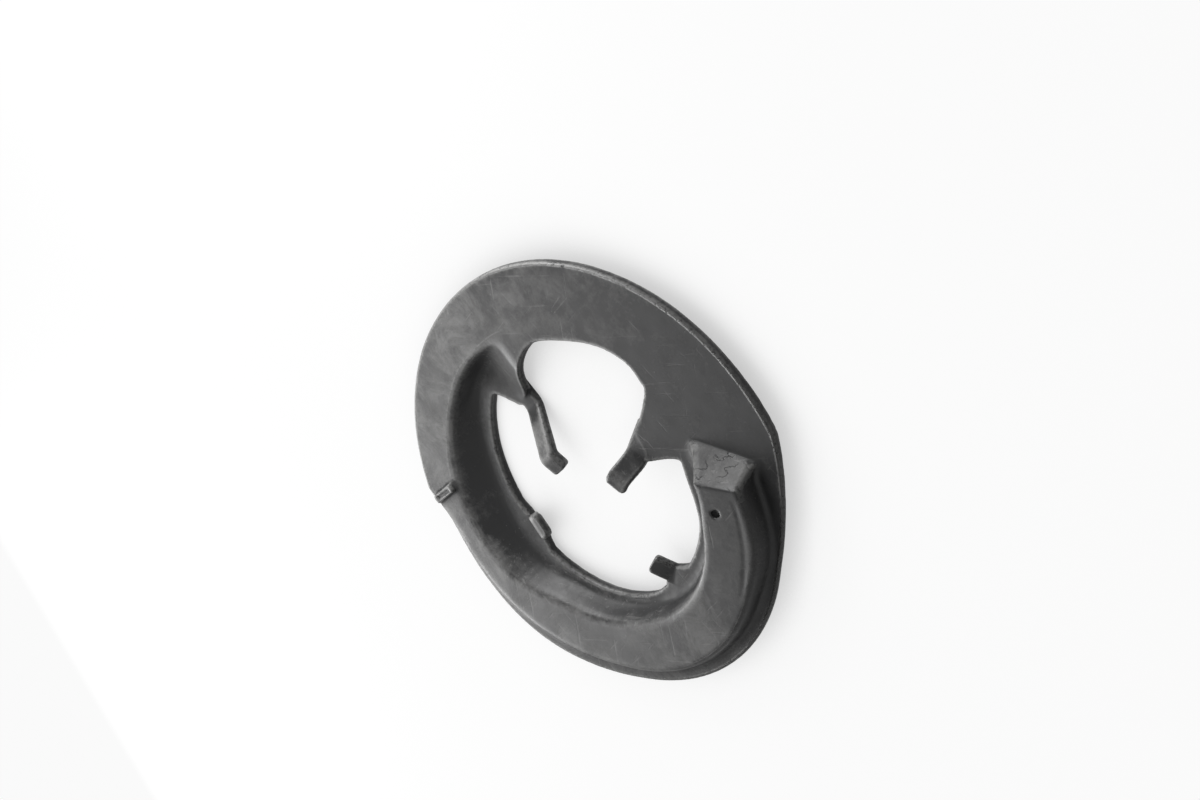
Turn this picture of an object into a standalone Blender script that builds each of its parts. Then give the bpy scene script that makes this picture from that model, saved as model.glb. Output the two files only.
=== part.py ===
"""Coil spring seat pad: one rubber moulding that sits between a suspension spring and its cup.

Metres, +Z up. The wide flange lies level. A seat for the last coil of the spring climbs round
the ring: it starts as a hollow below the flange, becomes a ridge above it, and ends at a sloping
stop against which the wire's tip bears. Four bent fingers reach into the middle.
"""
import math

import bmesh
import bpy
from mathutils import Matrix, Vector

MM = 0.001

# Angles are in degrees about the ring's axis, counter-clockwise from +X seen from above.
# The ring is drawn from 90 round to 450, so an angle over 360 has gone past +X once more.
ring_start = 90.0
ring_end = ring_start + 360.0

# Main hole, set off the ring's axis, and the web from its near side to the ridge's foot
hole_radius = 44.2 * MM
hole_offset_x = -8.3 * MM
hole_offset_y = -1.5 * MM
web_width = 5.5 * MM
ridge_foot_radius = hole_radius + hole_offset_x + web_width

# Ridge, which carries the spring's wire, with the run of its two sloping walls
ridge_inner_wall_run = 2.6 * MM
ridge_width = 18.0 * MM
ridge_outer_wall_run = 1.2 * MM
ridge_wall_height = 7.4 * MM
ridge_inner_radius = ridge_foot_radius + ridge_inner_wall_run
ridge_outer_radius = ridge_inner_radius + ridge_width

# Flange: a narrow rim beside the ridge, beyond which the low rim and the wide flange stand out
narrow_rim_land = 4.2 * MM
low_rim_overhang = 4.5 * MM
wide_flange_overhang = 10.1 * MM
flange_thickness = 3.4 * MM
narrow_rim_thickness = 1.6 * MM
edge_round = 0.6 * MM
narrow_rim_radius = ridge_outer_radius + ridge_outer_wall_run + narrow_rim_land
low_rim_radius = narrow_rim_radius + low_rim_overhang
flange_radius = narrow_rim_radius + wide_flange_overhang

# Where the outline passes from one rim to the next
low_rim_start = 246.0
low_rim_settled = 258.0
low_rim_end = 282.0
narrow_rim_start = 332.0
narrow_rim_end = 400.0
wide_rim_start = 439.5
wide_rim_growth = 1.6
thin_rim_end = 414.0

# Spring seat: a helical ramp from the hollow up to the stop
ramp_pitch = 17.1 * MM
ramp_start = 247.0
stop_brow_inner = 433.5
stop_foot_inner = 448.5
stop_brow_outer = 429.0
stop_foot_outer = 435.0

# The stop is set in from the ridge's inner edge and flares out beyond its outer edge
stop_inset = 2.0 * MM
stop_brow_flare = 0.8 * MM
stop_foot_flare = 3.6 * MM
stop_inner_radius = ridge_inner_radius + stop_inset
stop_brow_radius = ridge_outer_radius + stop_brow_flare
stop_outer_radius = ridge_outer_radius + stop_foot_flare

# How far round a section's outer end lags behind its inner end, from the ridge to the stop's foot
skew_start = 405.0
skew_end = 480.0

# Hollow, from the flange's edge inward: a land, the shoulder and a wall that slopes to its foot
hollow_start = 180.0
hollow_floor_start = 204.0
hollow_wide_angle = 245.0
hollow_rim_land = 3.1 * MM
seat_land_width = 9.8 * MM
hollow_widening = 5.0 * MM
hollow_wall_run = 1.2 * MM
hollow_wide_wall_run = 10.2 * MM
hollow_outer_radius = flange_radius - hollow_rim_land - ridge_outer_wall_run
hollow_wide_shoulder_radius = hollow_outer_radius - seat_land_width
hollow_wide_foot_radius = hollow_wide_shoulder_radius - hollow_wide_wall_run
hollow_shoulder_radius = hollow_wide_shoulder_radius - hollow_widening
hollow_foot_radius = hollow_shoulder_radius - hollow_wall_run

# How far a corner of the section is rounded back along its two sides
foot_setback = 3.0 * MM
shoulder_setback = 2.1 * MM
crown_setback = 1.6 * MM
gutter_setback = 1.3 * MM
under_setback = 1.2 * MM

# Fingers
finger_root_thickness = 2.8 * MM
finger_inset = 0.15 * MM
finger_embed = 3.0 * MM

# Nub on the flange and the small slot through the ridge
nub_size = (3.2 * MM, 10.4 * MM, 1.7 * MM)
nub_inset = 2.1 * MM
nub_angle = 246.9
nub_turn = 4.0
nub_round = 0.7 * MM
slot_length = 3.4 * MM
slot_width = 2.4 * MM
slot_inset = 7.0 * MM
slot_angle = 61.5
slot_turn = 20.0


def smooth_through(stations, angle):
    """Value at an angle on a monotone cubic through (angle, value) stations."""
    if angle <= stations[0][0]:
        return stations[0][1]
    if angle >= stations[-1][0]:
        return stations[-1][1]
    slopes = [
        (after[1] - before[1]) / (after[0] - before[0])
        for before, after in zip(stations, stations[1:])
    ]
    tangents = [0.0]
    for low, high in zip(slopes, slopes[1:]):
        tangents.append(2.0 * low * high / (low + high) if low * high > 0.0 else 0.0)
    tangents.append(0.0)
    for index, (before, after) in enumerate(zip(stations, stations[1:])):
        if angle <= after[0]:
            span = after[0] - before[0]
            t = (angle - before[0]) / span
            return (
                (2 * t**3 - 3 * t**2 + 1) * before[1]
                + (t**3 - 2 * t**2 + t) * span * tangents[index]
                + (3 * t**2 - 2 * t**3) * after[1]
                + (t**3 - t**2) * span * tangents[index + 1]
            )


def share(low, high, angle):
    """How far an angle lies between two others, from 0 to 1."""
    return min(max((angle - low) / (high - low), 0.0), 1.0)


def ease(low, high, angle):
    """The same share with soft ends."""
    t = share(low, high, angle)
    return t * t * (3.0 - 2.0 * t)


def rim_radius(angle):
    if angle <= low_rim_start:
        return flange_radius
    if angle <= low_rim_settled:
        fall = math.sin(math.radians(90.0 * share(low_rim_start, low_rim_settled, angle)))
        return flange_radius + (low_rim_radius - flange_radius) * fall
    if angle <= narrow_rim_start:
        fall = ease(low_rim_end, narrow_rim_start, angle)
        return low_rim_radius + (narrow_rim_radius - low_rim_radius) * fall
    growth = share(narrow_rim_end, wide_rim_start, angle) ** wide_rim_growth
    return narrow_rim_radius + (flange_radius - narrow_rim_radius) * growth


def rim_thickness(angle):
    """The narrow rim is also the thinner one."""
    thin = ease(low_rim_end, narrow_rim_start, angle) * (1.0 - ease(thin_rim_end, ring_end, angle))
    return flange_thickness + (narrow_rim_thickness - flange_thickness) * thin


# Where the hole's edge leaves its circle: four finger roots, a swell beside the stop and two
# shallow recesses. (start, end, flare before the start, flare after the end, depth inward)
edge_swells = (
    (199.0, 206.0, 34.0, 4.5, 12.0 * MM),
    (93.0, 108.5, 12.0, 7.0, 17.5 * MM),
    (359.0, 366.0, 4.0, 14.0, 3.6 * MM),
    (262.0, 273.0, 8.0, 6.0, 1.6 * MM),
    (76.0, 88.0, 34.0, 9.0, 4.0 * MM),
    (126.0, 130.0, 12.0, 28.0, -2.8 * MM),
    (282.0, 342.0, 16.0, 12.0, -1.2 * MM),
)


def hole_edge_radius(angle):
    """Distance from the ring's axis to the hole's edge, with the finger roots."""
    a = math.radians(angle)
    along = hole_offset_x * math.cos(a) + hole_offset_y * math.sin(a)
    across = hole_offset_x * math.sin(a) - hole_offset_y * math.cos(a)
    radius = along + math.sqrt(hole_radius**2 - across**2)
    for start, end, flare_before, flare_after, depth in edge_swells:
        for turn in (0.0, 360.0):
            rise = ease(start + turn - flare_before, start + turn, angle)
            fall = 1.0 - ease(end + turn, end + turn + flare_after, angle)
            radius -= depth * rise * fall
    return radius


stop_height = ramp_pitch * (stop_brow_inner - ramp_start) / 360.0


def ramp_height(angle):
    """Height of the spring seat above the flange along the helix."""
    return ramp_pitch * max(angle - ramp_start, 0.0) / 360.0


def seat_height(angle, brow, foot):
    """Height of one edge of the seat, which drops to the flange from the stop's brow to its foot."""
    climb = ramp_height(min(angle, brow))
    return climb * (1.0 - share(brow, foot, angle))


def web_height(angle):
    """Height of the web between the hole and the foot of the seat's inner wall."""
    if angle < ramp_start:
        return -ridge_wall_height * ease(hollow_start, hollow_floor_start, angle)
    return min(ramp_height(angle) - ridge_wall_height, 0.0)


shoulder_stations = (
    (ring_start, stop_inner_radius),
    (125.0, hollow_shoulder_radius - 2.0 * MM),
    (hollow_start, hollow_shoulder_radius),
    (210.0, (hollow_shoulder_radius + hollow_wide_shoulder_radius) / 2.0),
    (hollow_wide_angle, hollow_wide_shoulder_radius),
    (272.0, hollow_wide_shoulder_radius - 3.2 * MM),
    (300.0, ridge_inner_radius + 5.6 * MM),
    (345.0, ridge_inner_radius),
    (412.0, ridge_inner_radius),
    (stop_brow_inner, stop_inner_radius),
    (ring_end, stop_inner_radius),
)
foot_stations = (
    (ring_start, stop_inner_radius - ridge_inner_wall_run),
    (125.0, hollow_foot_radius - 3.0 * MM),
    (hollow_start, hollow_foot_radius - 1.0 * MM),
    (208.0, hollow_foot_radius + 1.2 * MM),
    (hollow_wide_angle, hollow_wide_foot_radius),
    (272.0, hollow_wide_foot_radius - 0.8 * MM),
    (300.0, ridge_foot_radius + 3.6 * MM),
    (345.0, ridge_foot_radius),
    (412.0, ridge_foot_radius),
    (stop_brow_inner, stop_inner_radius - ridge_inner_wall_run),
    (ring_end, stop_inner_radius - ridge_inner_wall_run),
)
crown_stations = (
    (ring_start, stop_outer_radius),
    (125.0, hollow_shoulder_radius + seat_land_width),
    (hollow_wide_angle, hollow_outer_radius),
    (256.0, low_rim_radius - ridge_outer_wall_run - 0.1 * MM),
    (266.0, low_rim_radius - ridge_outer_wall_run - 1.1 * MM),
    (280.0, low_rim_radius - ridge_outer_wall_run - 2.5 * MM),
    (330.0, ridge_outer_radius),
    (390.0, ridge_outer_radius),
    (412.0, stop_brow_radius + 1.0 * MM),
    (stop_brow_outer, stop_brow_radius),
    (stop_foot_outer, stop_outer_radius),
)


def rounded_corner(before, corner, after, setback, count):
    """Points of a soft corner between two straight sides."""
    points = []
    back = before - corner
    ahead = after - corner
    start = corner + back.normalized() * min(setback, back.length * 0.46)
    end = corner + ahead.normalized() * min(setback, ahead.length * 0.46)
    for index in range(count):
        t = index / (count - 1)
        points.append(start * (1 - t) ** 2 + corner * 2 * t * (1 - t) + end * t**2)
    return points


def under_side(line, thickness, end_thickness):
    """The line's copy one wall thickness below it."""
    under = []
    for index, point in enumerate(line):
        if index in (0, len(line) - 1):
            under.append(point + Vector((0.0, -end_thickness if index else -thickness)))
            continue
        into = (point - line[index - 1]).normalized()
        out = (line[index + 1] - point).normalized()
        normal_in = Vector((-into.y, into.x))
        normal_out = Vector((-out.y, out.x))
        mitre = (normal_in + normal_out) / (1.0 + normal_in.dot(normal_out))
        under.append(point - mitre * thickness)
    return under


def outer_angle(angle):
    """Where a section's outer end lies: it lags so that one section runs along the stop's brow
    and another along its foot."""
    turned = angle + 360.0 if angle < skew_end - 360.0 else angle
    lag = (
        (stop_brow_inner - stop_brow_outer) * share(skew_start, stop_brow_inner, turned)
        + (stop_foot_inner - stop_brow_inner - stop_foot_outer + stop_brow_outer)
        * share(stop_brow_inner, stop_foot_inner, turned)
    ) * (1.0 - share(stop_foot_inner, skew_end, turned))
    outer = angle - lag
    return outer + 360.0 if outer < ring_start else outer


def section(angle):
    """Closed outline of the ring at an angle, as (radius, height) points, with the radii of the
    seat's two edges."""
    outer = outer_angle(angle)
    web = web_height(angle)
    shoulder = smooth_through(shoulder_stations, angle)
    crown = smooth_through(crown_stations, outer)
    top = [
        Vector((hole_edge_radius(angle), web)),
        Vector((smooth_through(foot_stations, angle), web)),
        Vector((shoulder, seat_height(angle, stop_brow_inner, stop_foot_inner))),
        Vector((crown, seat_height(outer, stop_brow_outer, stop_foot_outer))),
        Vector((crown + ridge_outer_wall_run, 0.0)),
        Vector((rim_radius(outer), 0.0)),
    ]
    under = under_side(top, flange_thickness, rim_thickness(outer))
    loop = rounded_corner(under[0], top[0], top[1], edge_round, 3)
    for index, setback, count in ((1, foot_setback, 4), (2, shoulder_setback, 4),
                                  (3, crown_setback, 4), (4, gutter_setback, 3)):
        loop += rounded_corner(top[index - 1], top[index], top[index + 1], setback, count)
    loop += rounded_corner(top[4], top[5], under[5], edge_round, 3)
    loop += rounded_corner(top[5], under[5], under[4], edge_round, 3)
    for index in (4, 3, 2, 1):
        loop += rounded_corner(under[index + 1], under[index], under[index - 1], under_setback, 2)
    loop += rounded_corner(under[1], under[0], top[0], edge_round, 3)
    return loop, shoulder, crown


# Where the form turns quickly: past the stop, down into the hollow, at the nub and at the stop
quick_turns = (
    (ring_start, 123.0),
    (hollow_start - 6.0, hollow_floor_start + 9.0),
    (low_rim_start - 3.0, low_rim_start + 6.0),
    (stop_brow_inner - 7.5, ring_end),
)


def ring_angles():
    """Angles of the sections, twice as close together in the quick turns."""
    angles = []
    angle = ring_start
    while angle < ring_end - 0.01:
        angles.append(angle)
        quick = any(low - 0.01 <= angle < high - 0.01 for low, high in quick_turns)
        angle += 1.5 if quick else 3.0
    return angles


def ring_mesh():
    """The ring, lofted through its sections, which differ at every angle."""
    bm = bmesh.new()
    loops = []
    for angle in ring_angles():
        lag = (angle - outer_angle(angle)) % 360.0
        loop, shoulder, crown = section(angle)
        ring = []
        for point in loop:
            a = math.radians(angle - lag * share(shoulder, crown, point.x))
            ring.append(bm.verts.new((point.x * math.cos(a), point.x * math.sin(a), point.y)))
        loops.append(ring)
    for loop, following in zip(loops, loops[1:] + loops[:1]):
        for index in range(len(loop)):
            after = (index + 1) % len(loop)
            bm.faces.new((loop[index], loop[after], following[after], following[index]))
    bmesh.ops.recalc_face_normals(bm, faces=bm.faces)
    return bm


def finger_mesh(root, heading, lean, length, half_width, thickness, run, rise, foot, foot_rise):
    """A flat root, a rising shank and a foot, as one strip with rounded edges and tip."""
    x, y, z = root
    path = [Vector((-length - finger_embed, 0.0)), Vector((0.0, 0.0)), Vector((run, rise)),
            Vector((run + foot, rise + foot_rise))]
    line = [path[0]]
    for index in (1, 2):
        line += rounded_corner(path[index - 1], path[index], path[index + 1], 1.6 * MM, 4)
    end = path[3]
    toward_end = (path[3] - path[2]).normalized()
    tip_round = half_width * 0.35
    line += [end - toward_end * tip_round, end - toward_end * tip_round * 0.35, end]
    widths = [half_width] * (len(line) - 2) + [half_width * 0.93, half_width * 0.66]
    bm = bmesh.new()
    loops = []
    for index, (point, wide) in enumerate(zip(line, widths)):
        into = (point - line[max(index - 1, 0)]).normalized()
        out = (line[min(index + 1, len(line) - 1)] - point).normalized()
        along = (into + out).normalized()
        up = Vector((-along.y, along.x))
        thick = thickness + (finger_root_thickness - thickness) * (1.0 - share(0.0, run, point.x))
        chamfer = thick * 0.2
        corners = (
            (-wide + chamfer, 0.0), (wide - chamfer, 0.0), (wide, -chamfer),
            (wide, chamfer - thick), (wide - chamfer, -thick),
            (chamfer - wide, -thick), (-wide, chamfer - thick), (-wide, -chamfer),
        )
        slant = lean * share(0.0, run + foot, point.x)
        loops.append([
            bm.verts.new((point.x + up.x * depth + slant * across, across, point.y + up.y * depth))
            for across, depth in corners
        ])
    for loop, following in zip(loops, loops[1:]):
        for index in range(len(loop)):
            after = (index + 1) % len(loop)
            bm.faces.new((loop[index], loop[after], following[after], following[index]))
    bm.faces.new(loops[0])
    bm.faces.new(loops[-1])
    bmesh.ops.recalc_face_normals(bm, faces=bm.faces)
    place = Matrix.Translation((x, y, z - finger_inset)) @ Matrix.Rotation(math.radians(heading), 4, "Z")
    bmesh.ops.transform(bm, matrix=place, verts=bm.verts)
    return bm


def ring_point(radius, angle):
    """A place on the ring, as x and y."""
    a = math.radians(angle)
    return radius * math.cos(a), radius * math.sin(a)


def nub_mesh():
    """A low rib with rounded edges across the flange, sunk halfway into it."""
    bm = bmesh.new()
    bmesh.ops.create_cube(bm, size=1.0)
    width, length, height = nub_size
    sunk = flange_thickness / 2.0
    bmesh.ops.scale(bm, vec=(width, length, height + sunk), verts=bm.verts)
    bmesh.ops.bevel(bm, geom=bm.edges[:], offset=nub_round, segments=2, profile=0.5, affect="EDGES")
    x, y = ring_point(low_rim_radius - nub_inset, nub_angle)
    place = Matrix.Translation((x, y, (height - sunk) / 2.0))
    turn = Matrix.Rotation(math.radians(nub_turn), 4, "Z")
    bmesh.ops.transform(bm, matrix=place @ turn, verts=bm.verts)
    return bm


def slot_cutter_mesh():
    """A short upright pin of oblong section, for the small slot through the ridge."""
    bm = bmesh.new()
    bmesh.ops.create_cube(bm, size=1.0)
    reach = 2.0 * (stop_height + flange_thickness)
    bmesh.ops.scale(bm, vec=(slot_length, slot_width, reach), verts=bm.verts)
    upright = [edge for edge in bm.edges if abs(edge.verts[0].co.z - edge.verts[1].co.z) > reach / 2.0]
    bmesh.ops.bevel(bm, geom=upright, offset=slot_width * 0.35, segments=2, profile=0.5, affect="EDGES")
    x, y = ring_point(ridge_inner_radius + slot_inset, slot_angle)
    place = Matrix.Translation((x, y, 0.0))
    turn = Matrix.Rotation(math.radians(slot_angle + slot_turn), 4, "Z")
    bmesh.ops.transform(bm, matrix=place @ turn, verts=bm.verts)
    return bm


def add_object(name, bm, collection):
    mesh = bpy.data.meshes.new(name)
    bm.to_mesh(mesh)
    bm.free()
    obj = bpy.data.objects.new(name, mesh)
    collection.objects.link(obj)
    return obj


def add_cutter(name, bm, collection):
    obj = add_object(name, bm, collection)
    obj.hide_render = True
    obj.display_type = "WIRE"
    return obj


def boolean(target, tool, operation):
    modifier = target.modifiers.new(tool.name, "BOOLEAN")
    modifier.object = tool
    modifier.operation = operation
    modifier.solver = "EXACT"


def rubber_material():
    material = bpy.data.materials.new("black_rubber")
    material.use_nodes = True
    shader = material.node_tree.nodes["Principled BSDF"]
    shader.inputs["Base Color"].default_value = (0.035, 0.035, 0.037, 1.0)
    shader.inputs["Roughness"].default_value = 0.5
    shader.inputs["Metallic"].default_value = 0.0
    return material


# Each finger: its angle on the ring, how far inside the hole's edge its upward bend starts (mm),
# its heading, then in mm the flat length behind the bend, half its width, its thickness, the run
# and rise of its shank and the same of its foot, and last its tip's slant
fingers = (
    (202.0, 3.1, 6.0, 8.0, 3.4, 3.8, 16.2, 9.6, 6.4, -1.6, 0.0),
    (99.1, 5.5, -64.5, 11.0, 3.9, 1.9, 5.6, 6.2, 4.2, 0.2, 0.0),
    (364.1, -2.5, 200.0, 4.0, 3.7, 2.8, 5.0, 2.4, 2.4, 0.9, 0.0),
    (267.8, 0.0, 89.0, 3.0, 4.4, 3.2, 8.6, 9.0, 3.4, 0.2, 0.0),
)


def rest_on_ground(pad, others):
    """Shift every mesh alike, so the pad is centred on the origin and stands on z = 0."""
    coords = [vertex.co for vertex in pad.data.vertices]
    lows = [min(co[axis] for co in coords) for axis in range(3)]
    highs = [max(co[axis] for co in coords) for axis in range(3)]
    shift = Vector((-(lows[0] + highs[0]) / 2.0, -(lows[1] + highs[1]) / 2.0, -lows[2]))
    for obj in [pad] + others:
        obj.data.transform(Matrix.Translation(shift))


def build():
    for obj in list(bpy.data.objects):
        bpy.data.objects.remove(obj, do_unlink=True)
    parts = bpy.data.collections.new("spring_seat_pad")
    cutters = bpy.data.collections.new("cutters")
    bpy.context.scene.collection.children.link(parts)
    bpy.context.scene.collection.children.link(cutters)

    pad = add_object("spring_seat_pad", ring_mesh(), parts)
    pad.data.materials.append(rubber_material())
    tools = []
    for number, (angle, reach, heading, *lengths, lean) in enumerate(fingers):
        x, y = ring_point(hole_edge_radius(angle) - reach * MM, angle)
        root = (x, y, web_height(angle))
        strip = finger_mesh(root, heading, lean, *[length * MM for length in lengths])
        tools.append(add_cutter(f"finger_{number + 1}", strip, cutters))
    tools.append(add_cutter("nub", nub_mesh(), cutters))
    slot_pin = add_cutter("slot_pin", slot_cutter_mesh(), cutters)
    rest_on_ground(pad, tools + [slot_pin])
    for tool in tools:
        boolean(pad, tool, "UNION")
    boolean(pad, slot_pin, "DIFFERENCE")
    pad.data.shade_smooth()
    pad.data.set_sharp_from_angle(angle=math.radians(40.0))


build()
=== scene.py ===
"""Coil spring seat pad in satin black rubber, as the photograph shows it.

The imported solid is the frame. The pad's skin is a finer copy of it, with the soft corners,
small wear and moulding marks of a real rubber part. Metres, +Z up.
"""
import math

import bmesh
import bpy
import numpy as np
from mathutils import Matrix, Vector, noise


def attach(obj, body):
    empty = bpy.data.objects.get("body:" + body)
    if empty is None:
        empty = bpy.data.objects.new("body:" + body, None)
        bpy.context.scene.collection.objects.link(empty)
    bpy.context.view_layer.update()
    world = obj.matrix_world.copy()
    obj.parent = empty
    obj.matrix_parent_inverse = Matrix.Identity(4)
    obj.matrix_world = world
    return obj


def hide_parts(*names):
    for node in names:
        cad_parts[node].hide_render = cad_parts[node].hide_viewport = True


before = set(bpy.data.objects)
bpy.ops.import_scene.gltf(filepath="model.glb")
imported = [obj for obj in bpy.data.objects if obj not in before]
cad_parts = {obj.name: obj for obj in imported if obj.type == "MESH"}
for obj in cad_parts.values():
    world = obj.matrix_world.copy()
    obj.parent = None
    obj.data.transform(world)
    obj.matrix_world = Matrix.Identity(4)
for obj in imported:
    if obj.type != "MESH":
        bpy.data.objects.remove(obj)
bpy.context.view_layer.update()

MM = 0.001

# The camera stands about 1.2 m away on the wide side of the flange, 42 degrees above it, and is
# rolled, as the photograph was taken of a pad that stood on its edge.
ring_axis = Vector((5.05, -2.8, 10.8)) * MM
looked_at = ring_axis + Vector((-24.03, 22.11, 0.0)) * MM
camera_distance = 1.2
toward_camera = Vector((0.0, 0.73710, 0.67578)).normalized()
picture_right = Vector((0.56298, 0.55851, -0.60919))
picture_right = (picture_right - toward_camera * picture_right.dot(toward_camera)).normalized()
camera_data = bpy.data.cameras.new("camera")
camera_data.sensor_width = 36.0
camera_data.lens = 116.425
camera_data.clip_end = 20.0
camera = bpy.data.objects.new("camera", camera_data)
bpy.context.scene.collection.objects.link(camera)
turn = Matrix((picture_right, toward_camera.cross(picture_right), toward_camera)).transposed()
camera.matrix_world = Matrix.Translation(looked_at + toward_camera * camera_distance) @ turn.to_4x4()
bpy.context.scene.camera = camera

# The pad is one moulding in black rubber, pressed in a two-part tool. Its corners are soft, its
# walls run into each other with small fillets, and its flat faces are never quite flat.
skin_voxel = 0.46 * MM
skin_smoothing = 6
skin_triangles = 190000
pad_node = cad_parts["spring_seat_pad"]
solid = bmesh.new()
solid.from_mesh(pad_node.data)
bmesh.ops.remove_doubles(solid, verts=solid.verts, dist=0.001 * MM)
coarse_mesh = bpy.data.meshes.new("pad_coarse")
solid.to_mesh(coarse_mesh)
solid.free()
coarse = bpy.data.objects.new("pad_coarse", coarse_mesh)
bpy.context.scene.collection.objects.link(coarse)
remesh = coarse.modifiers.new("skin", "REMESH")
remesh.mode = "VOXEL"
remesh.voxel_size = skin_voxel
remesh.adaptivity = 0.0


def settled_mesh(thing):
    """A new mesh of the thing as its modifiers leave it."""
    bpy.context.view_layer.update()
    settled = thing.evaluated_get(bpy.context.evaluated_depsgraph_get())
    return bpy.data.meshes.new_from_object(settled)


pad_mesh = settled_mesh(coarse)
bpy.data.objects.remove(coarse)
bpy.data.meshes.remove(coarse_mesh)
edges = np.empty(len(pad_mesh.edges) * 2, dtype=np.int32)
pad_mesh.edges.foreach_get("vertices", edges)
edges = edges.reshape(-1, 2)
neighbours = np.bincount(edges.ravel(), minlength=len(pad_mesh.vertices)).astype(float)


def neighbour_mean(values):
    """Each point's neighbours' mean of a value or of a row of values."""
    columns = values if values.ndim == 2 else values[:, None]
    total = np.empty_like(columns)
    for column in range(columns.shape[1]):
        reached = columns[:, column]
        total[:, column] = (
            np.bincount(edges[:, 0], reached[edges[:, 1]], minlength=len(columns))
            + np.bincount(edges[:, 1], reached[edges[:, 0]], minlength=len(columns))
        )
    mean = total / neighbours[:, None]
    return mean if values.ndim == 2 else mean[:, 0]


def point_rows(name):
    """The skin's points ("co") or the ways they face ("normal"), one row for each point."""
    values = np.empty(len(pad_mesh.vertices) * 3, dtype=np.float32)
    pad_mesh.vertices.foreach_get(name, values)
    return values.reshape(-1, 3).astype(float)


def move_points(rows):
    pad_mesh.vertices.foreach_set("co", rows.astype(np.float32).ravel())
    pad_mesh.update()


def ring_place(rows):
    """Radius, angle in degrees from 0 to 360 and height over the flange of many points."""
    local = rows - np.array(ring_axis)
    radius = np.hypot(local[:, 0], local[:, 1])
    angle = np.degrees(np.arctan2(local[:, 1], local[:, 0])) % 360.0
    return radius, angle, local[:, 2]


def soft_step(low, high, value):
    t = np.clip((value - low) / (high - low), 0.0, 1.0)
    return t * t * (3.0 - 2.0 * t)


def between(rise_start, rise_end, fall_start, fall_end, value):
    """A band with soft ends: 1 from the rise's end to the fall's start, and 0 outside."""
    return soft_step(rise_start, rise_end, value) * (1.0 - soft_step(fall_start, fall_end, value))


def under(low, high, value):
    return 1.0 - soft_step(low, high, value)


points = point_rows("co")
for _ in range(skin_smoothing):
    points += 0.5 * (neighbour_mean(points) - points)
    points -= 0.52 * (neighbour_mean(points) - points)
move_points(points)

# Moulding marks: a shallow channel along the ridge's crown near the stop, a groove along the
# nub's back, and the slight unevenness of pressed rubber.
channel_radius = 59.6 * MM
channel_half_width = 1.1 * MM
channel_depth = 0.16 * MM
nub_middle = ring_axis + Vector((-27.4, -64.2, 0.0)) * MM
nub_groove_half_width = 0.7 * MM
nub_groove_half_length = 3.6 * MM
nub_groove_depth = 0.6 * MM
unevenness = 0.10 * MM
slow_waves, quick_waves, quick_share = 45.0, 170.0, 0.35
normals = point_rows("normal")
radius, angle, height = ring_place(points)
facing_up = soft_step(0.5, 0.9, normals[:, 2])
channel = np.exp(-((radius - channel_radius) / channel_half_width) ** 2)
channel *= between(28.0, 38.0, 62.0, 68.0, angle)
points[:, 2] -= channel_depth * channel * facing_up * (height > 2.0 * MM)
nub_groove = np.exp(-((points[:, 0] - nub_middle.x) / nub_groove_half_width) ** 2)
nub_groove *= np.abs(points[:, 1] - nub_middle.y) < nub_groove_half_length
on_nub = (height > 1.0 * MM) & (height < 2.5 * MM) & (facing_up > 0.2)
points[:, 2] -= nub_groove_depth * nub_groove * on_nub
wave = np.array([
    noise.noise(Vector(point) * slow_waves) + quick_share * noise.noise(Vector(point) * quick_waves)
    for point in points
])
points += normals * (unevenness * wave)[:, None]
move_points(points)

# Corners that stick out are handled most, so they are smoother and painted paler, partly as wear and
# partly as a painted highlight where edges catch the lamps. How far each point stands proud of its
# neighbours is kept for the finish to read.
points = point_rows("co")
normals = point_rows("normal")
proud = np.einsum("ij,ij->i", points - neighbour_mean(points), normals) / skin_voxel
for _ in range(2):
    proud = 0.5 * proud + 0.5 * neighbour_mean(proud)
radius, angle, height = ring_place(points)
turned = (angle + 180.0) % 360.0 - 180.0
stop_face = (
    between(67.0, 71.0, 88.0, 93.0, angle)
    * soft_step(44.0 * MM, 46.0 * MM, radius) * (height > 0.2 * MM)
    * between(0.35, 0.5, 0.94, 0.985, normals[:, 2])
)

# Where dust has settled most: the flange on the side away from the stop, the long finger, the ridge's
# low part and the narrow rim below it. On the flange and the long finger, which face the lamps, the
# paler tone is also painted light.
up_side = soft_step(0.2, 0.7, normals[:, 2])
flange_dust_and_light = (
    soft_step(140.0, 205.0, angle) * (1.0 - 0.5 * soft_step(285.0, 330.0, angle))
    * soft_step(53.0 * MM, 60.0 * MM, radius) * soft_step(-1.6 * MM, -0.4 * MM, height)
)
finger_dust_and_light = between(186.0, 196.0, 214.0, 226.0, angle) * under(31.0 * MM, 36.0 * MM, radius)
dusty_ridge = between(-40.0, -15.0, 12.0, 42.0, turned) * soft_step(42.0 * MM, 46.0 * MM, radius)
dusty_outside = between(-65.0, -40.0, 8.0, 26.0, turned) * soft_step(60.0 * MM, 65.0 * MM, radius)
dust_and_painted_light = up_side * np.maximum(np.maximum(flange_dust_and_light, 0.9 * dusty_ridge), 0.75 * finger_dust_and_light)
dust_and_painted_light = np.maximum(dust_and_painted_light, 0.9 * dusty_outside)

# The hollow's upper end is dull. The flange beside the stop, on the side away from the lamps, is
# painted darker as shade, the hollow's low part is painted darker as a cast shadow, and the web by
# the ridge is painted darker.
matte = (
    between(166.0, 176.0, 200.0, 212.0, angle)
    * soft_step(34.0 * MM, 38.0 * MM, radius) * under(-0.9 * MM, -0.3 * MM, height)
)
shaded_flange = up_side * between(20.0, 75.0, 105.0, 150.0, angle) * (height < 1.0 * MM)
shadowed_hollow = between(222.0, 244.0, 268.0, 290.0, angle) * under(-3.5 * MM, -1.5 * MM, height)
darker_web = between(-45.0, -25.0, 30.0, 45.0, turned) * under(40.0 * MM, 43.0 * MM, radius)
painted_shade_and_darker_web = np.maximum(np.maximum(shaded_flange, shadowed_hollow), darker_web)
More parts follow.
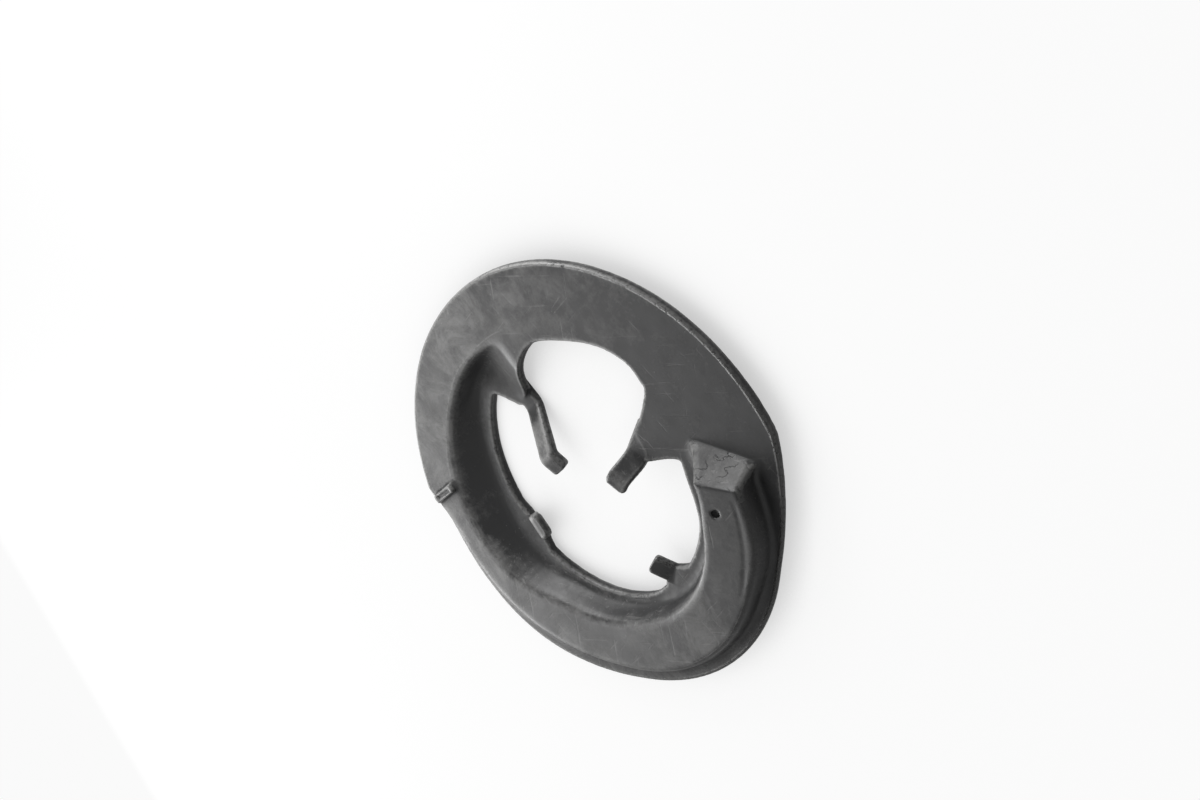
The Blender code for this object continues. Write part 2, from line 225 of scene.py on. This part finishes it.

# A thin line of flash runs where the tool's halves met, along the rim's upper edge. It is painted
# stronger from -20 to 160 degrees round the ring, where it is also a painted highlight of the edge.
# The finish draws it, and the other thin lines, from each point's distance to the line in
# millimetres.
rim_bin = np.clip(angle.astype(int), 0, 359)
rim_reach = np.zeros(360)
np.maximum.at(rim_reach, rim_bin, radius)
rim_reach = (np.roll(rim_reach, 1) + rim_reach + np.roll(rim_reach, -1)) / 3.0
rim_reach = np.interp(angle, np.arange(-1, 361) + 0.5, rim_reach[np.arange(-1, 361) % 360])
rim_line = soft_step(-1.2 * MM, -0.5 * MM, height) * (
    0.35 + 0.65 * between(-20.0, 30.0, 118.0, 160.0, turned)
)

# Thin painted highlights along the ridge's inner edge, its outer edge low down and the hollow's
# shoulder.
above_flange = soft_step(2.0 * MM, 3.0 * MM, height)
ridge_line = between(-5.0, 15.0, 60.0, 70.0, turned) * above_flange
crown_line = between(-20.0, 0.0, 26.0, 36.0, turned) * above_flange
shoulder_line = between(174.0, 182.0, 236.0, 250.0, angle) * soft_step(-1.0 * MM, -0.4 * MM, height)
shoulder_at = np.interp(
    angle, (170.0, 195.2, 204.0, 211.7, 220.0, 229.1, 240.2, 260.0),
    (59.0, 61.3, 62.8, 63.2, 63.7, 64.3, 65.6, 65.8),
)

# A dark crease of painted shade lies under the stop's brow. The paler edge paint, partly wear and
# partly painted highlight, is weak on some edges: the slot's, the crown's and the ridge's inner one.
# The sloped face's own edges get the most of it.
slot_middle = ring_axis + Vector((24.3, 44.8, 0.0)) * MM
near_slot = np.hypot(points[:, 0] - slot_middle.x, points[:, 1] - slot_middle.y)
kept_dark = np.exp(-(near_slot / (3.4 * MM)) ** 4)
before_stop = turned < 66.0
crown_band = np.exp(-((radius - 61.6 * MM) / (2.6 * MM)) ** 4) * (turned > -20.0) * before_stop
ridge_inside = np.exp(-((radius - 45.0 * MM) / (2.4 * MM)) ** 4) * (turned > -45.0) * before_stop
shaded_brow = (
    between(66.0, 67.5, 75.0, 77.0, angle)
    * between(45.6 * MM, 46.4 * MM, 61.5 * MM, 62.5 * MM, radius)
    * soft_step(7.9 * MM, 8.3 * MM, height) * (proud > 0.004)
)
facet_edge = (
    between(67.0, 69.0, 86.0, 90.0, angle)
    * soft_step(58.0 * MM, 60.0 * MM, radius) * (height > 0.8 * MM)
)
rubbed_and_highlit = np.clip(proud * 18.0 * (1.0 + 0.9 * facet_edge), 0.0, 1.0)
rubbed_and_highlit *= 1.0 - 0.5 * ridge_inside
rubbed_and_highlit *= (1.0 - kept_dark) * (1.0 - 0.85 * crown_band * (1.0 - facet_edge)) * (1.0 - shaded_brow)
# Hollow corners and the stop's brow are painted darker: painted shade.
painted_crease_shade = np.clip(-proud * 9.0 + 1.4 * shaded_brow, 0.0, 1.6)

kept_for_finish = {
    "rubbed_and_highlit": rubbed_and_highlit, "painted_crease_shade": painted_crease_shade, "stop_face": stop_face,
    "dust_and_painted_light": dust_and_painted_light, "painted_shade_and_darker_web": painted_shade_and_darker_web, "matte": matte,
    "off_rim": (rim_reach - radius) / MM, "rim_line": rim_line,
    "off_ridge": radius / MM - 44.7, "ridge_line": ridge_line,
    "off_crown": radius / MM - 60.9, "crown_line": crown_line,
    "off_shoulder": radius / MM - shoulder_at, "shoulder_line": shoulder_line,
}
for name, values in kept_for_finish.items():
    layer = pad_mesh.attributes.new(name, "FLOAT", "POINT")
    layer.data.foreach_set("value", np.clip(values, -9.0, 9.0).astype(np.float32))

# The flat faces don't need so many points, so the skin is thinned out where it is flat.
fine = bpy.data.objects.new("fine_skin", pad_mesh)
bpy.context.scene.collection.objects.link(fine)
thinner = fine.modifiers.new("thinner", "DECIMATE")
thinner.ratio = min(skin_triangles / (2.0 * len(pad_mesh.polygons)), 1.0)
thin_mesh = settled_mesh(fine)
bpy.data.objects.remove(fine)
bpy.data.meshes.remove(pad_mesh)
thin_mesh.name = "rubber_pad"
thin_mesh.shade_smooth()
pad = bpy.data.objects.new("rubber_pad", thin_mesh)
bpy.context.scene.collection.objects.link(pad)
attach(pad, "root")
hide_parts("spring_seat_pad")

# The rubber is satin black, with a bloom of pale dust on the faces that lie up, rubbed smears, fine
# scratches and specks, and paler corners. Painted light and shade is mixed into the same tone:
# painted highlights on edges and on faces turned to the lamps, and painted shade in creases, in the
# hollow and on the side away from the lamps.
deepest_black = (0.010, 0.010, 0.0105, 1.0)
palest_dust_and_highlight = (0.210, 0.209, 0.206, 1.0)
relief_height = 0.14 * MM
rubber = bpy.data.materials.new("satin_black_rubber")
rubber.use_nodes = True
tree = rubber.node_tree
shader = tree.nodes["Principled BSDF"]
place = tree.nodes.new("ShaderNodeTexCoord").outputs["Object"]


def linked(kind, inputs, **settings):
    """A new node with its settings, and its sockets set or linked by name or number."""
    node = tree.nodes.new(kind)
    for name, value in settings.items():
        setattr(node, name, value)
    for name, value in inputs.items():
        if isinstance(value, bpy.types.NodeSocket):
            tree.links.new(value, node.inputs[name])
        else:
            node.inputs[name].default_value = value
    return node


def grain(scale, detail, roughness, source=place, distortion=0.0):
    return linked("ShaderNodeTexNoise", {
        "Vector": source, "Scale": scale, "Detail": detail, "Roughness": roughness,
        "Distortion": distortion,
    }).outputs["Fac"]


def spread(value, low, high, bottom=0.0, top=1.0):
    """The value from low to high, drawn out softly to the range from bottom to top."""
    return linked("ShaderNodeMapRange", {
        "Value": value, "From Min": low, "From Max": high, "To Min": bottom, "To Max": top,
    }, interpolation_type="SMOOTHSTEP").outputs["Result"]


def calc(operation, first, second=0.0):
    return linked("ShaderNodeMath", {0: first, 1: second}, operation=operation).outputs["Value"]


def plus(first, second):
    return calc("ADD", first, second)


def times(first, second):
    return calc("MULTIPLY", first, second)


def larger(first, second):
    return calc("MAXIMUM", first, second)


def off_from(value, middle):
    return calc("ABSOLUTE", calc("SUBTRACT", value, middle))


def stretched(turn_degrees, along):
    """The place on the pad, drawn out along a direction, for marks that run one way."""
    return linked("ShaderNodeMapping", {
        "Vector": place, "Rotation": (0.0, 0.0, math.radians(turn_degrees)),
        "Scale": (1.0, along, 1.0),
    }, vector_type="TEXTURE").outputs["Vector"]


def worn(name):
    return linked("ShaderNodeAttribute", {}, attribute_name=name).outputs["Fac"]


def thin_line(name, middle, half_width, strength):
    """A pale line along the place where the distance kept in the mesh equals the middle."""
    line = spread(off_from(worn("off_" + name), middle), half_width, 0.0)
    return times(times(line, worn(name + "_line")), strength)


facing = linked("ShaderNodeSeparateXYZ", {0: linked("ShaderNodeNewGeometry", {}).outputs["Normal"]})
lying_up = spread(facing.outputs["Z"], 0.55, 0.95)
dust_cloud = spread(grain(75.0, 9.0, 0.74, distortion=0.5), 0.40, 0.66)
smear = spread(grain(55.0, 6.0, 0.68, stretched(38.0, 4.5)), 0.48, 0.74)
dust = times(larger(dust_cloud, smear), lying_up)
# Settled dust, and on the flange and long finger painted light as well.
settled_dust_and_light = times(worn("dust_and_painted_light"), plus(times(dust_cloud, 1.25), 0.18))

# Scratches run four ways, each in fields of its own: degrees, fineness across, length, the
# share of the grain that is left out, and the fields' fineness.
scratches = 0.0
for turn_degrees, across, along, left_out, field_scale in (
    (-24.0, 900.0, 22.0, 0.67, 26.0), (57.0, 1000.0, 18.0, 0.68, 31.0),
    (12.0, 1200.0, 20.0, 0.68, 37.0), (102.0, 850.0, 14.0, 0.68, 43.0),
):
    hairs = spread(grain(across, 1.0, 0.5, stretched(turn_degrees, along)), left_out, left_out + 0.06)
    field = spread(grain(field_scale, 3.0, 0.5), 0.44, 0.60)
    scratches = larger(scratches, times(hairs, field))
speck_cells = linked("ShaderNodeTexVoronoi", {"Vector": place, "Scale": 420.0}).outputs["Distance"]
specks = times(spread(speck_cells, 0.14, 0.06), spread(grain(60.0, 2.0, 0.5), 0.58, 0.66))
# Paler edges: partly wear, partly a painted highlight.
rubbed_and_highlit = worn("rubbed_and_highlit")
stop_face = worn("stop_face")
# Wrinkles on the stop face: bumped, and their creases are also painted darker as shade.
creased = grain(150.0, 3.0, 0.55, stretched(-60.0, 2.6), distortion=0.3)
wrinkled_field = spread(grain(120.0, 2.0, 0.5), 0.42, 0.56)
wrinkles = times(times(spread(off_from(creased, 0.5), 0.016, 0.0), stop_face), wrinkled_field)
broken = spread(grain(800.0, 3.0, 0.6), 0.30, 0.55)
flash_and_highlight = times(thin_line("rim", 0.75, 0.60, 1.0), broken)
painted_edge_highlights = larger(thin_line("ridge", 0.0, 0.45, 0.8), thin_line("crown", 0.0, 0.3, 0.7))
painted_edge_highlights = times(larger(painted_edge_highlights, thin_line("shoulder", 0.0, 0.4, 0.45)), broken)
mottle = plus(times(plus(grain(260.0, 9.0, 0.85), grain(95.0, 6.0, 0.7)), 0.5), -0.5)

paleness = times(dust, 0.26)
for mark, amount in (
    (mottle, 2.4),
    (settled_dust_and_light, 0.42),
    # The stop face is painted paler in patches: partly dust, partly a painted highlight of the face
    # turned to the lamps.
    (stop_face, plus(times(dust_cloud, 0.45), -0.08)),
    (wrinkles, -0.35),
    (scratches, 0.30),
    (specks, 0.5),
    (rubbed_and_highlit, plus(times(broken, 0.7), 0.25)),
    (flash_and_highlight, 3.6),
    (painted_edge_highlights, 1.0),
    (worn("painted_crease_shade"), -0.25),
    (worn("painted_shade_and_darker_web"), -0.20),
):
    paleness = plus(paleness, times(mark, amount))
shade = linked("ShaderNodeValToRGB", {"Fac": paleness})
shade.color_ramp.elements[0].color = deepest_black
shade.color_ramp.elements[1].color = palest_dust_and_highlight
tree.links.new(shade.outputs["Color"], shader.inputs["Base Color"])

roughness = spread(grain(90.0, 4.0, 0.55), 0.3, 0.7, 0.40, 0.50)
for mark, amount in ((dust, 0.10), (rubbed_and_highlit, -0.08), (worn("matte"), 0.22), (mottle, 0.8)):
    roughness = plus(roughness, times(mark, amount))
tree.links.new(roughness, shader.inputs["Roughness"])
shader.inputs["Specular IOR Level"].default_value = 0.42

fine_grain = grain(2600.0, 2.0, 0.6)
pressed = grain(320.0, 3.0, 0.55)
relief = times(fine_grain, 0.10)
for mark, amount in ((pressed, 0.35), (wrinkles, -1.0), (flash_and_highlight, 3.5), (scratches, -0.25)):
    relief = plus(relief, times(mark, amount))
bump = linked("ShaderNodeBump", {"Height": relief, "Strength": 0.6, "Distance": relief_height})
tree.links.new(bump.outputs["Normal"], shader.inputs["Normal"])
thin_mesh.materials.append(rubber)

# The floor is a plain white sheet. The camera sees it nearly pure white, with a soft shade where
# the pad comes close to it, and the pad's gloss sees it weaker.
floor_size = 4.0
floor_in_gloss = 0.6
floor_whiteness = 0.95
shade_reach = 0.03
shade_darkest = 0.55
pure_white = (1.0, 1.0, 1.0, 1.0)
paper_white = (0.86, 0.86, 0.86, 1.0)
floor_mesh = bpy.data.meshes.new("floor")
sheet = bmesh.new()
bmesh.ops.create_grid(sheet, x_segments=1, y_segments=1, size=floor_size)
sheet.to_mesh(floor_mesh)
sheet.free()
floor = bpy.data.objects.new("floor", floor_mesh)
bpy.context.scene.collection.objects.link(floor)
white = bpy.data.materials.new("white_floor")
white.use_nodes = True
tree = white.node_tree
tree.nodes.clear()


def shown_to(gloss_share):
    """1 for what the camera sees, straight or through glass, and a share of it for gloss."""
    rays = tree.nodes.new("ShaderNodeLightPath").outputs
    seen = larger(rays["Is Camera Ray"], rays["Is Transmission Ray"])
    return larger(seen, times(rays["Is Glossy Ray"], gloss_share))


def blend(share, first, second):
    return linked("ShaderNodeMixShader", {0: share, 1: first.outputs[0], 2: second.outputs[0]})


paper = linked("ShaderNodeBsdfDiffuse", {"Color": paper_white})
near_pad = linked("ShaderNodeAmbientOcclusion", {"Distance": shade_reach}, samples=8)
softly_shaded = spread(near_pad.outputs["AO"], 0.0, 1.0, shade_darkest, 1.0)
glow = linked("ShaderNodeEmission", {"Color": pure_white, "Strength": softly_shaded})
covered = blend(shown_to(floor_in_gloss), paper, blend(floor_whiteness, paper, glow))
surface = tree.nodes.new("ShaderNodeOutputMaterial")
tree.links.new(covered.outputs[0], surface.inputs["Surface"])
floor_mesh.materials.append(white)

# Light: two small soft boxes low and near the pad, on the picture's upper and lower left, each
# with its degrees round the ring, its degrees above the floor and its watts.
box_size = 0.20
box_distance = 0.30
soft_boxes = (("soft_box_upper", 182.0, 19.0, 1.05), ("soft_box_lower", 264.0, 18.0, 0.66))
for name, around, above, watts in soft_boxes:
    box_data = bpy.data.lights.new(name, "AREA")
    box_data.shape = "SQUARE"
    box_data.size = box_size
    box_data.energy = watts
    box = bpy.data.objects.new(name, box_data)
    bpy.context.scene.collection.objects.link(box)
    direction = Vector((
        math.cos(math.radians(around)) * math.cos(math.radians(above)),
        math.sin(math.radians(around)) * math.cos(math.radians(above)),
        math.sin(math.radians(above)),
    ))
    box.location = ring_axis + direction * box_distance
    box.rotation_euler = direction.to_track_quat("Z", "Y").to_euler()

# The room is dim. Its white walls show to the camera, and as a sheen on the rubber.
walls_in_gloss = 0.75
room_light = 0.04
world = bpy.data.worlds.new("room")
bpy.context.scene.world = world
world.use_nodes = True
tree = world.node_tree
tree.nodes.clear()
room = linked("ShaderNodeBackground", {"Color": pure_white, "Strength": room_light})
backdrop = linked("ShaderNodeBackground", {"Color": pure_white, "Strength": 1.0})
walls = blend(shown_to(walls_in_gloss), room, backdrop)
surface = tree.nodes.new("ShaderNodeOutputWorld")
tree.links.new(walls.outputs[0], surface.inputs["Surface"])
bpy.context.scene.view_settings.view_transform = "Standard"
